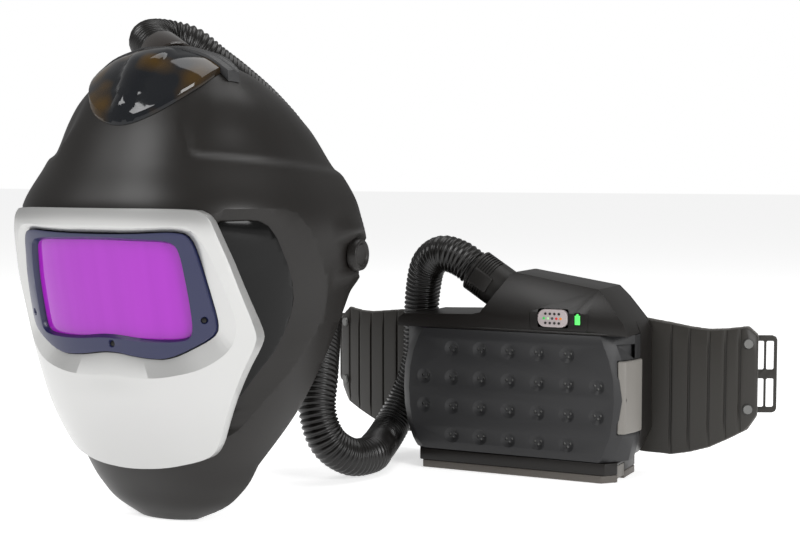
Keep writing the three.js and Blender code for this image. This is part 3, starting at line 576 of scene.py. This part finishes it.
smoke_gloss = moulded("smoke gloss", (0.003, 0.003, 0.003), 0.12, grain=300, bump=0.0, drift=0.3,
                      rough_drift=0.03, Specular_IOR_Level=0.2)
for side_name, side_sign in (("left", -1), ("right", 1)):
    pane = helmet_form("side_pane", -5.0)
    cut(pane, helmet_form("under_pane", -7.2, low=BELOW))
    cut(pane, slab("pane_area", grown(rounded(WINDOW_GLASS, times=1), 1.5), "X", side_sign * 20,
                   side_sign * 200), "INTERSECT")
    soft_edges(pane, 0.3)
    pane.name = pane.data.name = f"side_window_{side_name}_skin"
    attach(pane, "root")
    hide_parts(f"side_window_{side_name}")
    finish_with(pane, smoke_gloss)

# ---- Air duct, crown lip and hose collar ----
# Air comes in at the crown through a clear smoke duct with a tubular ridge down its middle, its near-black
# colour patched with painted amber glints.
# The satin grey lip that clamps its rear edge carries two ridges, and the collar takes the tube.
smoke_duct = moulded("smoke duct", (0.006, 0.005, 0.004), 0.07, grain=200, bump=0.0, drift=0.3,
                     rough_drift=0.02, Coat_Weight=0.25, Coat_Roughness=0.03)
# Painted amber glints: a noise lays patches of amber over the near-black smoke colour.
duct_place = smoke_duct.node_tree.nodes.new("ShaderNodeTexCoord")
painted_glints = smoke_duct.node_tree.nodes.new("ShaderNodeTexNoise")
painted_glints.inputs["Scale"].default_value = 32
painted_glints.inputs["Detail"].default_value = 1
painted_glint_ramp = smoke_duct.node_tree.nodes.new("ShaderNodeValToRGB")
painted_glint_ramp.color_ramp.elements[0].position = 0.5
painted_glint_ramp.color_ramp.elements[0].color = (0.006, 0.007, 0.009, 1)
painted_glint_ramp.color_ramp.elements[1].position = 0.75
painted_glint_ramp.color_ramp.elements[1].color = (0.055, 0.028, 0.002, 1)
smoke_duct.node_tree.links.new(duct_place.outputs["Object"], painted_glints.inputs["Vector"])
smoke_duct.node_tree.links.new(painted_glints.outputs["Fac"], painted_glint_ramp.inputs["Fac"])
smoke_duct.node_tree.links.new(painted_glint_ramp.outputs["Color"],
                               smoke_duct.node_tree.nodes["Principled BSDF"].inputs["Base Color"])


def duct_relief(x, y, z):
    """The tubular ridge down the middle of the duct."""
    ridge = 5.5 * np.clip(1 - (x / (7 + 0.22 * np.clip(y + 100, 0, 60))) ** 2, 0, 1) ** 0.5
    return ridge * step(z, 308, 322) * (y < 0)


DUCT_REAR = -46
duct_outline = []
for i in range(64):
    turn = 2 * math.pi * i / 64
    duct_outline.append((55 * math.cos(turn), min(DUCT_REAR + 54 * math.sin(turn), DUCT_REAR)))
duct_outline = [p for p in duct_outline if p[1] < DUCT_REAR] + [(55, DUCT_REAR), (-55, DUCT_REAR)]
duct_outline.sort(key=lambda p: math.atan2(p[1] - DUCT_REAR + 12, p[0]))
air_duct = helmet_form("air_duct_skin", 3.2, relief=duct_relief)
cut(air_duct, helmet_form("under_duct", 0.4, low=BELOW))
cut(air_duct, slab("duct_area", duct_outline, "Z", 250, 420), "INTERSECT")
cut(air_duct, bar("collar_cut", COLLAR_FROM, COLLAR_PAST, COLLAR_R + 0.4))
soft_edges(air_duct, 0.8, segments=3)
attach(air_duct, "root")
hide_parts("air_duct")
finish_with(air_duct, smoke_duct)


def lip_relief(x, y, z):
    """Two ridges across the lip."""
    return 1.6 * (np.exp(-((y + 41) / 1.7) ** 2) + np.exp(-((y + 34) / 1.7) ** 2))


lip_grey = moulded("lip grey", (0.03, 0.03, 0.031), 0.4, grain=1500, bump=0.05)
crown_lip = helmet_form("crown_lip_skin", 4.6, relief=lip_relief, rows=150)
cut(crown_lip, helmet_form("under_lip", 0.4, low=BELOW))
cut(crown_lip, slab("lip_area", [(-62, -45.6), (62, -45.6), (66, -36), (52, -27), (-52, -27), (-66, -36)],
                    "Z", 270, 420), "INTERSECT")
cut(crown_lip, bar("collar_cut", COLLAR_FROM, COLLAR_PAST, COLLAR_R + 0.4))
soft_edges(crown_lip, 0.7, segments=2)
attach(crown_lip, "root")
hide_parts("crown_lip")
finish_with(crown_lip, lip_grey)

hose_collar = bar("hose_collar_skin", COLLAR_FROM, COLLAR_TO, COLLAR_R)
cut(hose_collar, bar("collar_bore", COLLAR_FROM - 0.2 * (COLLAR_TO - COLLAR_FROM),
                     COLLAR_FROM + 1.2 * (COLLAR_TO - COLLAR_FROM), COLLAR_BORE_R))
soft_edges(hose_collar, 1.2, segments=4)
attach(hose_collar, "root")
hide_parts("hose_collar")
finish_with(hose_collar, moulded("collar gloss", (0.016, 0.011, 0.008), 0.12, grain=300, bump=0.0,
                                 Coat_Weight=0.6, Coat_Roughness=0.05))

# ---- Pivot caps ----
# A low round screw cap on each side clamps the harness. Its face is dished for a thumb.
for side_name, side_sign in (("left", -1), ("right", 1)):
    cap = bar("pivot_cap", (side_sign * 127, PIVOT_Y, PIVOT_Z),
              (side_sign * 134, PIVOT_Y, PIVOT_Z), 14, 12)
    cut(cap, bar("cap_dish", (side_sign * 132.6, PIVOT_Y, PIVOT_Z),
                 (side_sign * 136, PIVOT_Y, PIVOT_Z), 8.5, 10.5))
    cut(cap, bar("bolt_room", (side_sign * 126, PIVOT_Y, PIVOT_Z),
                 (side_sign * 131.3, PIVOT_Y, PIVOT_Z), 3.8))
    cap.name = cap.data.name = f"pivot_cap_{side_name}_skin"
    soft_edges(cap, 0.8, segments=3)
    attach(cap, f"cap_{side_name}")
    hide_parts(f"pivot_cap_{side_name}")
    finish_with(cap, shell_plastic)

# ---- Filter cover ----
# The blower's front is a dark grey moulded lid. Small air holes sit in 24 round cups, its sides
# fall away in slanted facets, and it hooks on at the left and latches at the right.
cover_plastic = moulded("cover plastic", (0.021, 0.021, 0.022), 0.45, grain=1300, bump=0.07, drift=0.12)
cover_rows = []
COVER_LOW, COVER_HIGH = 18.4, 129.6
COVER_SIDES = [(COVER_LOW, 84), (26, 89), (40, 94.5), (57, 97.5), (74, 98.5), (92, 97.5), (108, 94),
               (122, 88.5), (COVER_HIGH, 85)]
for z, face in COVER_SIDES:
    back_left = -110 + max(0, (40 - z) * 0.32)
    back_right = 110.5 - max(0, (40 - z) * 0.22)
    fall = 1.6 if z in (COVER_LOW, COVER_HIGH) else 0
    cover_rows.append([
        (-face, -35 + fall, z), (face, -35 + fall, z),
        (min(face + 9, 108), -27, z), (back_right - 1, -11, z),
        (back_right, 1.9, z), (back_left + 1, 1.9, z),
        (back_left, -11, z), (max(-face - 9, -108), -27, z),
    ])
filter_cover = wrapped("filter_cover_skin", np.array(cover_rows) / 1000 + BLOWER_AT)
hollow = [[(x * 0.966, y + (3.4 if y < -20 else 0.5), z) for x, y, z in row] for row in cover_rows]
hollow = [[(x, y + (6 if y > 0 else 0), np.clip(z, 21, 127.4)) for x, y, z in row] for row in hollow]
cut(filter_cover, wrapped("cover_hollow", np.array(hollow) / 1000 + BLOWER_AT))
LATCH = [(100.6, -31.2), (106.9, -27.8), (111.6, -12), (113, 1.4), (108.4, 1.4), (107.2, -10),
         (103.6, -24), (99.4, -28.4)]
LATCH_LOW, LATCH_HIGH = 44, 108
cut(filter_cover, slab("latch_room", grown(LATCH, 0.7), "Z", LATCH_LOW - 0.6, LATCH_HIGH + 0.6, at=BLOWER_AT))
cut(filter_cover, bar("pin_bore", (-104, -3, 0), (-104, -3, 200), 2.2, at=BLOWER_AT, vertices=20))
CUP_PITCH = (27.6, 26.6)
CUP_MIDDLE = 72
cups = []
for row, reach in ((1.5, 2), (0.5, 3), (-0.5, 3), (-1.5, 2)):
    for column in range(-reach, reach + 1):
        cups.append((column * CUP_PITCH[0], CUP_MIDDLE + row * CUP_PITCH[1]))


def joined(pieces):
    only(pieces[0])
    for piece in pieces:
        piece.select_set(True)
    bpy.ops.object.join()
    return bpy.context.active_object


CUP_R, CUP_FLOOR_R = 8.6, 3.6
AIR_HOLE_R = 1.15
cup_cutters = [bar("cup", (x, -36, z), (x, -32.6, z), CUP_R, CUP_FLOOR_R, at=BLOWER_AT, vertices=32)
               for x, z in cups]
cut(filter_cover, joined(cup_cutters))
hole_cutters = []
for x, z in cups:
    for hole_x, hole_z in ((-2.6, 0.6), (0.4, -2.2), (3.0, 0.8)):
        hole_cutters.append(bar("air_hole", (x + hole_x, -36, z + hole_z),
                                (x + hole_x, -29, z + hole_z), AIR_HOLE_R, at=BLOWER_AT, vertices=12))
cut(filter_cover, joined(hole_cutters))
soft_edges(filter_cover, 0.55, segments=2, angle=24, smooth=30)
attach(filter_cover, "cover")
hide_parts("filter_cover")
finish_with(filter_cover, cover_plastic)

# ---- Blower housing, battery and small parts ----
# The housing is one black moulding with a raised shoulder that takes the tube. Its corners and the
# corners of the parts that fit into it are softened as moulding leaves them.
blower_plastic = moulded("blower plastic", (0.0085, 0.0073, 0.0064), 0.38, grain=1400, bump=0.06,
                         drift=0.15)
taupe_plastic = moulded("taupe plastic", (0.19, 0.18, 0.165), 0.45, grain=1400, bump=0.06, drift=0.08)
strip_plastic = moulded("strip plastic", (0.1, 0.09, 0.08), 0.5, grain=1400, bump=0.06, drift=0.12)
inner_plastic = moulded("inner plastic", (0.022, 0.022, 0.024), 0.5, grain=1200, bump=0.06)
button_rubber = moulded("button rubber", (0.4, 0.35, 0.35), 0.55, grain=1500, bump=0.05, drift=0.05)


def softened(node, width, material, body, segments=2, angle=30):
    """A merged copy of a frame node with its edges rounded, standing for that node."""
    piece = nodes[node].copy()
    piece.data = nodes[node].data.copy()
    bpy.context.scene.collection.objects.link(piece)
    piece.name = piece.data.name = f"{node}_skin"
    piece.parent = None
    piece.matrix_world = nodes[node].matrix_world.copy()
    only(piece)
    bpy.ops.object.mode_set(mode="EDIT")
    bpy.ops.mesh.select_all(action="SELECT")
    bpy.ops.mesh.remove_doubles(threshold=0.00003)
    bpy.ops.mesh.dissolve_limited(angle_limit=math.radians(0.8))
    bpy.ops.object.mode_set(mode="OBJECT")
    soft_edges(piece, width, segments=segments, angle=angle, smooth=angle + 2)
    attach(piece, body)
    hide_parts(node)
    finish_with(piece, material)
    return piece


blower_housing = softened("blower_housing", 2.6, blower_plastic, "root", segments=4)
PANEL_LEFT, PANEL_RIGHT, PANEL_LOW, PANEL_HIGH = 19.5, 74.5, 132.6, 155
PANEL_MIDDLE = ((PANEL_LEFT + PANEL_RIGHT) / 2, (PANEL_LOW + PANEL_HIGH) / 2)
panel_width = PANEL_RIGHT - PANEL_LEFT
panel_height = PANEL_HIGH - PANEL_LOW
panel_outside = rounded_box(panel_width, panel_height, 4, *PANEL_MIDDLE)
panel_inside = rounded_box(panel_width - 1.4, panel_height - 1.4, 3.4, *PANEL_MIDDLE)
groove = slab("panel_groove", panel_outside, "Y", -36, -33.6, at=BLOWER_AT)
cut(groove, slab("panel_island", panel_inside, "Y", -38, -30, at=BLOWER_AT))
cut(blower_housing, groove)
only(blower_housing)
bpy.ops.object.shade_smooth_by_angle(angle=math.radians(32))
softened("rear_plate", 0.8, blower_plastic, "root")
cover_latch = slab("cover_latch_skin", LATCH, "Z", LATCH_LOW, LATCH_HIGH, at=BLOWER_AT)
soft_edges(cover_latch, 1.4, segments=3)
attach(cover_latch, "latch")
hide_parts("cover_latch")
finish_with(cover_latch, taupe_plastic)
power_button = slab("power_button_skin", rounded_box(27.6, 15.6, 6.6, 41.5, 143.5),
                    "Y", -35.6, -28, at=BLOWER_AT)
soft_edges(power_button, 0.9, segments=3)
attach(power_button, "button")
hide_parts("power_button")
finish_with(power_button, button_rubber)
softened("battery_pack", 0.8, blower_plastic, "root")
softened("battery_strip", 0.9, strip_plastic, "root")
battery_catch = softened("battery_catch", 0.7, taupe_plastic, "catch")
for groove_y in (-17.5, -14, -10.5, -7, -4.5):
    cut(battery_catch, slab("catch_groove", [(groove_y - 0.6, 2), (groove_y + 0.6, 2), (groove_y + 0.6, 16),
                                             (groove_y - 0.6, 16)], "X", 97.2, 99, at=BLOWER_AT))

lamp_green = moulded("lamp green", (0.1, 0.78, 0.14), 0.3, grain=300, bump=0.0, drift=0.02,
                     Emission_Color=(0.12, 0.85, 0.16, 1), Emission_Strength=0.35)
softened("battery_lamp", 0.5, blower_plastic, "root")
for lamp_name, width, height, lamp_z in (("lamp_body", 4.8, 8.2, 142.8), ("lamp_nub", 2.2, 1.2, 147.6)):
    lit = slab(lamp_name, rounded_box(width, height, 0.5, 64.5, lamp_z), "Y", -35.0, -34.0, at=BLOWER_AT)
    soft_edges(lit, 0.2)
    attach(lit, "root")
    finish_with(lit, lamp_green)

LIGHTS = [("green", (0.05, 0.6, 0.1)), ("pale", (0.45, 0.75, 0.4)), ("dark", (0.05, 0.05, 0.05)),
          ("red", (0.6, 0.03, 0.03)), ("orange", (0.75, 0.25, 0.03))]
for number, (light_name, light_color) in enumerate(LIGHTS):
    light_x = 33.7 + 3.9 * number
    light = bar(f"signal_{light_name}", (light_x, -36.0, 143.5), (light_x, -35.3, 143.5), 1.15,
                at=BLOWER_AT, vertices=20)
    soft_edges(light, 0.2)
    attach(light, "button")
    finish_with(light, moulded(f"signal {light_name}", light_color, 0.3, bump=0.0, drift=0.02))
for number in range(8):
    dot_x = 35.2 + 4.2 * (number % 4)
    dot_z = 147.6 if number < 4 else 139.4
    dot = bar(f"button_dot_{number}", (dot_x, -36.0, dot_z), (dot_x, -35.4, dot_z), 1.15,
              at=BLOWER_AT, vertices=16)
    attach(dot, "button")
    finish_with(dot, blower_plastic)

# ---- Hose cuff ----
# A stiff black sleeve on the tube's end that pushes into the blower's shoulder and twists to lock.
# It has a raised thumb pad and close shallow ribs towards the tube.
CUFF_FROM = np.array((-17, 0, 163.0))
CUFF_WAY = np.array((-0.841, 0, 0.541))
CUFF_LENGTH = 34
cuff = bar("hose_cuff_skin", CUFF_FROM, CUFF_FROM + CUFF_WAY * CUFF_LENGTH, 20.2, at=BLOWER_AT, vertices=64)
for rib in range(7):
    far = CUFF_LENGTH - 3 - rib * 2.6
    groove = bar("rib_groove", CUFF_FROM + CUFF_WAY * (far - 0.65), CUFF_FROM + CUFF_WAY * (far + 0.65), 23,
                 at=BLOWER_AT, vertices=64)
    cut(groove, bar("rib_core", CUFF_FROM + CUFF_WAY * (far - 3), CUFF_FROM + CUFF_WAY * (far + 3), 19.1,
                    at=BLOWER_AT, vertices=64))
    cut(cuff, groove)
bpy.ops.mesh.primitive_cube_add(size=1)
pad = only(bpy.context.active_object)
pad.scale = (0.016, 0.005, 0.02)
pad.rotation_euler = (0, math.atan2(CUFF_WAY[0], CUFF_WAY[2]), 0)
pad.location = (CUFF_FROM + CUFF_WAY * 20 + (0, -19.2, 0)) / 1000 + BLOWER_AT
bpy.ops.object.transform_apply(location=True, rotation=True, scale=True)
soft_edges(pad, 1.6, segments=3)
cut(cuff, pad, "UNION")
cut(cuff, bar("cuff_bore", CUFF_FROM - CUFF_WAY * 5, CUFF_FROM + CUFF_WAY * 60, 14, at=BLOWER_AT, vertices=48))
soft_edges(cuff, 0.5, angle=30)
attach(cuff, "cuff")
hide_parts("hose_cuff")
finish_with(cuff, moulded("cuff plastic", (0.011, 0.01, 0.009), 0.42, grain=1200, bump=0.08, drift=0.25))

# ---- Waist belt ----
# Each stiff moulded wing bends round the hips. Five grooves let it flex, its upper and lower edges
# fall back in slanted facets, and a foam pad lines it.
belt_plastic = moulded("belt plastic", (0.022, 0.02, 0.017), 0.4, grain=1100, bump=0.08, drift=0.2)
BELT_Y = 38.9
BELT_BEND_R = 225
RIGHT_WING = np.array([[62, 26, 130], [100, 18, 139], [127, 17, 135], [143, 20, 132], [160, 25, 130],
                       [176, 33, 131], [192, 42, 133], [200, 55, 125]], float)
LEFT_WING = np.array([[62, 26, 130], [112, 18, 138], [150, 17, 135], [167, 20, 133], [184, 25, 131],
                      [201, 31, 131], [219, 38, 133], [228, 52, 125]], float)
for side_name, side_sign, wing, grooves in (("left", -1, LEFT_WING, (150, 167, 184, 201, 215)),
                                            ("right", 1, RIGHT_WING, (127, 143, 160, 174, 186))):
    groove_marks = [g + d for g in grooves for d in (-1.4, -0.7, 0.7, 1.4)]
    marks = sorted(set(list(np.arange(62, wing[-1, 0], 4)) + groove_marks + [wing[-1, 0]]))
    rows = []
    for far in marks:
        low = np.interp(far, wing[:, 0], wing[:, 1])
        high = np.interp(far, wing[:, 0], wing[:, 2])
        y = BELT_Y + max(0, far - 100) ** 2 / (2 * BELT_BEND_R)
        deep = 1.9 if any(abs(far - g) <= 0.71 for g in grooves) else 0
        x = side_sign * far
        rows.append([(x, y + 2.6, low), (x, y + 5, low), (x, y + 5, high),
                     (x, y + 2.6, high), (x, y + deep, high - 15), (x, y + deep, low + 15)])
    wing_piece = wrapped(f"belt_wing_{side_name}_skin", np.array(rows) / 1000 + BLOWER_AT)
    soft_edges(wing_piece, 0.25, segments=1, angle=30)
    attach(wing_piece, "root")
    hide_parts(f"belt_wing_{side_name}")
    finish_with(wing_piece, belt_plastic)
    softened(f"end_tab_{side_name}", 0.6, belt_plastic, "root")

# ---- Soft linings ----
# The sweatband, the face seal and the belt pads are foam covered in a close knit.
weave = bpy.data.node_groups.new("weave", "ShaderNodeTree")
weave.interface.new_socket("Scale", in_out="INPUT", socket_type="NodeSocketFloat")
weave.interface.new_socket("Height", in_out="OUTPUT", socket_type="NodeSocketFloat")
weave_in = weave.nodes.new("NodeGroupInput")
weave_out = weave.nodes.new("NodeGroupOutput")
weave_place = weave.nodes.new("ShaderNodeTexCoord")
thread_total = weave.nodes.new("ShaderNodeMath")
thread_total.operation = "ADD"
for index, direction in enumerate(("Z", "DIAGONAL")):
    thread = weave.nodes.new("ShaderNodeTexWave")
    thread.bands_direction = direction
    weave.links.new(weave_place.outputs["Object"], thread.inputs["Vector"])
    weave.links.new(weave_in.outputs["Scale"], thread.inputs["Scale"])
    weave.links.new(thread.outputs["Fac"], thread_total.inputs[index])
weave.links.new(thread_total.outputs[0], weave_out.inputs["Height"])


def knitted(name, color, scale):
    material = moulded(name, color, 0.92, grain=700, bump=0.3, drift=0.3, Sheen_Weight=0.3)
    knit_tree = material.node_tree
    knit = knit_tree.nodes.new("ShaderNodeGroup")
    knit.node_tree = weave
    knit.inputs["Scale"].default_value = scale
    raised = next(n for n in knit_tree.nodes if n.bl_idname == "ShaderNodeBump")
    knit_tree.links.new(knit.outputs["Height"], raised.inputs["Height"])
    return material


dark_knit = knitted("dark knit", (0.02, 0.02, 0.022), 260)
pad_knit = knitted("pad knit", (0.09, 0.085, 0.078), 220)
for node, material, voxel in (("sweatband", dark_knit, 1.6), ("face_seal", dark_knit, 1.2),
                              ("belt_pad_left", pad_knit, 1.3), ("belt_pad_right", pad_knit, 1.3)):
    lining = nodes[node].copy()
    lining.data = nodes[node].data.copy()
    bpy.context.scene.collection.objects.link(lining)
    lining.name = lining.data.name = f"{node}_skin"
    lining.parent = None
    lining.matrix_world = nodes[node].matrix_world.copy()
    only(lining)
    bpy.ops.object.mode_set(mode="EDIT")
    bpy.ops.mesh.select_all(action="SELECT")
    bpy.ops.mesh.remove_doubles(threshold=0.00003)
    bpy.ops.object.mode_set(mode="OBJECT")
    remesh = lining.modifiers.new("foam", "REMESH")
    remesh.mode = "VOXEL"
    remesh.voxel_size = voxel / 1000
    bpy.ops.object.modifier_apply(modifier="foam")
    rounding = lining.modifiers.new("round", "SMOOTH")
    rounding.factor = 0.5
    rounding.iterations = 3
    bpy.ops.object.modifier_apply(modifier="round")
    bpy.ops.object.shade_smooth()
    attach(lining, "harness" if node == "sweatband" else "root")
    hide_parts(node)
    finish_with(lining, material)

# ---- Head harness ----
# Nylon bands, straps and a ratchet, all bolted to the shell at the two pivots.
for node, width, body in (("headband", 0.5, "harness"), ("crown_strap_front", 0.5, "harness"),
                          ("crown_strap_rear", 0.5, "harness"), ("ratchet_housing", 1.0, "harness"),
                          ("ratchet_knob", 0.8, "ratchet"), ("airflow_deflector", 0.5, "deflector"),
                          ("pivot_spacer_left", 0.5, "root"), ("pivot_spacer_right", 0.5, "root")):
    softened(node, width, inner_plastic, body)

# ---- Metal, filters, fan and electronics ----
# What is inside keeps the frame's own shape and gets the finish of the real material.
steel = moulded("rivet steel", (0.16, 0.16, 0.155), 0.42, grain=900, bump=0.05, Metallic=0.8)
clear_plate = bpy.data.materials.new("clear plate")
clear_plate.use_nodes = True
clear_shader = clear_plate.node_tree.nodes["Principled BSDF"]
clear_shader.inputs["Transmission Weight"].default_value = 1
clear_shader.inputs["Roughness"].default_value = 0.03
INSIDE = {
    "inner_plate": clear_plate,
    "filter_cassette": inner_plastic,
    "particle_filter": knitted("filter paper", (0.7, 0.69, 0.64), 120),
    "prefilter": knitted("prefilter felt", (0.66, 0.65, 0.6), 160),
    "filter_gasket": moulded("gasket rubber", (0.02, 0.02, 0.02), 0.7),
    "fan_scroll": moulded("scroll plastic", (0.05, 0.05, 0.055), 0.45),
    "impeller": moulded("impeller plastic", (0.09, 0.09, 0.095), 0.4),
    "fan_motor": moulded("motor case", (0.55, 0.55, 0.55), 0.35, Metallic=0.9),
    "circuit_board": moulded("board green", (0.015, 0.11, 0.04), 0.4, grain=400, bump=0.2),
    "battery_contacts": moulded("contact brass", (0.65, 0.43, 0.16), 0.3, Metallic=1.0),
}
for node in ("spark_arrestor", "hinge_pin", "pivot_bolt_left", "pivot_bolt_right", "rivet_left_high",
             "rivet_left_low", "rivet_right_high", "rivet_right_low"):
    INSIDE[node] = steel
for node, material in INSIDE.items():
    finish_with(nodes[node], material)

# ---- Floor and light ----
# A plain near-white floor with soft studio light from above, from the left and from behind.
bpy.ops.mesh.primitive_plane_add(size=30, location=(0, 0, -0.0005))
floor = bpy.context.active_object
floor.name = "floor"
floor_white = bpy.data.materials.new("floor white")
floor_white.use_nodes = True
floor_shader = floor_white.node_tree.nodes["Principled BSDF"]
floor_shader.inputs["Base Color"].default_value = (0.93, 0.93, 0.93, 1)
floor_shader.inputs["Roughness"].default_value = 0.9
floor_shader.inputs["Specular IOR Level"].default_value = 0
floor_shader.inputs["Emission Color"].default_value = (1, 1, 1, 1)
floor_shader.inputs["Emission Strength"].default_value = 0.62
finish_with(floor, floor_white)
world = bpy.data.worlds.new("studio")
bpy.context.scene.world = world
world.use_nodes = True
world.node_tree.nodes["Background"].inputs["Color"].default_value = (1, 1, 1, 1)
world.node_tree.nodes["Background"].inputs["Strength"].default_value = 0.3
seen = world.node_tree.nodes.new("ShaderNodeBackground")
seen.inputs["Strength"].default_value = 1.0
seen.inputs["Color"].default_value = (1, 1, 1, 1)
seen_ray = world.node_tree.nodes.new("ShaderNodeLightPath")
seen_mix = world.node_tree.nodes.new("ShaderNodeMixShader")
world.node_tree.links.new(seen_ray.outputs["Is Camera Ray"], seen_mix.inputs["Fac"])
world.node_tree.links.new(world.node_tree.nodes["Background"].outputs[0], seen_mix.inputs[1])
world.node_tree.links.new(seen.outputs[0], seen_mix.inputs[2])
world.node_tree.links.new(seen_mix.outputs[0], world.node_tree.nodes["World Output"].inputs["Surface"])
for lamp_name, place, look_at, width, power in (
    ("key", (-0.9, -1.6, 1.7), (0, 0, 0.15), 1.0, 22),
    ("side", (1.9, -0.7, 0.9), (0, 0, 0.15), 0.9, 24),
    ("top", (0.1, 0.5, 2.0), (0, 0, 0.1), 1.4, 13),
):
    bpy.ops.object.light_add(type="AREA", location=place)
    lamp = bpy.context.active_object
    lamp.name = lamp_name
    lamp.data.size = width
    lamp.data.energy = power
    way = np.array(look_at) - np.array(place)
    tilt = math.acos(-way[2] / np.linalg.norm(way))
    lamp.rotation_euler = (tilt, 0, math.atan2(way[1], way[0]) - math.pi / 2)
bpy.context.scene.view_settings.view_transform = "Standard"
